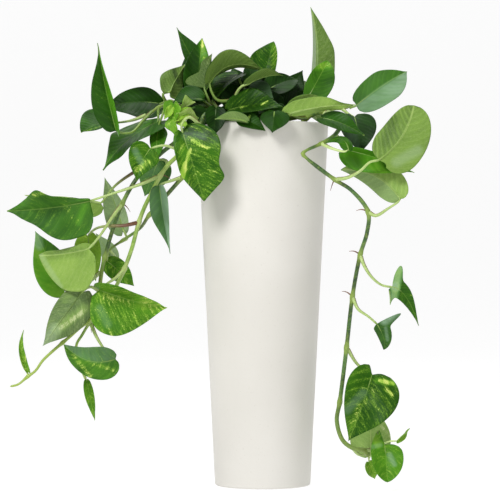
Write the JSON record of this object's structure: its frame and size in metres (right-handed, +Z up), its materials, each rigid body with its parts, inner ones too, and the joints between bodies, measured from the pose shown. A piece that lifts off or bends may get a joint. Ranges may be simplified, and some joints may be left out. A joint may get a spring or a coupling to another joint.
{
  "type": "potted pothos plant",
  "caption": "Variegated pothos in a tall round tapered planter, with a leafy crown above the rim and leafy vines trailing down both sides.",
  "frame": {"origin": "centre of the pot's flat base", "axes": "+X to the picture's right, -Y towards the picture's camera, +Z up along the pot's axis"},
  "size_m": [0.524, 0.2631, 0.6155],
  "materials": {
    "leaf": "satin",
    "stem": "satin",
    "soil": "matte",
    "pot": "satin"
  },
  "bodies": {
    "root": {"leaf_front": "leaf", "leaf_left_tall": "leaf", "leaf_left_low": "leaf", "leaf_left_flat": "leaf", "leaf_left_drop": "leaf", "leaf_left_drop_small": "leaf", "leaf_left_under": "leaf", "leaf_left_mottled": "leaf", "leaf_left_mottled_low": "leaf", "leaf_far_left": "leaf", "leaf_far_left_back": "leaf", "leaf_left_grey": "leaf", "leaf_left_hanging": "leaf", "leaf_left_young": "leaf", "leaf_left_broad": "leaf", "leaf_left_back": "leaf", "leaf_left_cream": "leaf", "leaf_left_heart": "leaf", "leaf_left_mottled_small": "leaf", "leaf_left_sliver": "leaf", "leaf_left_bottom": "leaf", "leaf_right_round": "leaf", "leaf_right_lower": "leaf", "leaf_right_middle": "leaf", "leaf_right_curl": "leaf", "leaf_right_dark": "leaf", "leaf_right_below": "leaf", "leaf_right_fan": "leaf", "leaf_right_tall": "leaf", "leaf_right_tall_front": "leaf", "leaf_right_under_left": "leaf", "leaf_right_under_right": "leaf", "leaf_small_upper": "leaf", "leaf_small_lower": "leaf", "leaf_right_heart": "leaf", "leaf_right_backing": "leaf", "leaf_bottom": "leaf", "sprig_centre_left": "leaf", "sprig_centre": "leaf", "sprig_centre_right": "leaf", "sprig_back": "leaf", "vine_right": "stem", "vine_left_light": "stem", "vine_left_dark": "stem", "vine_left_short": "stem", "stem_left": "stem", "stem_right": "stem", "pot": "pot", "soil": "soil"}
  },
  "joints": []
}
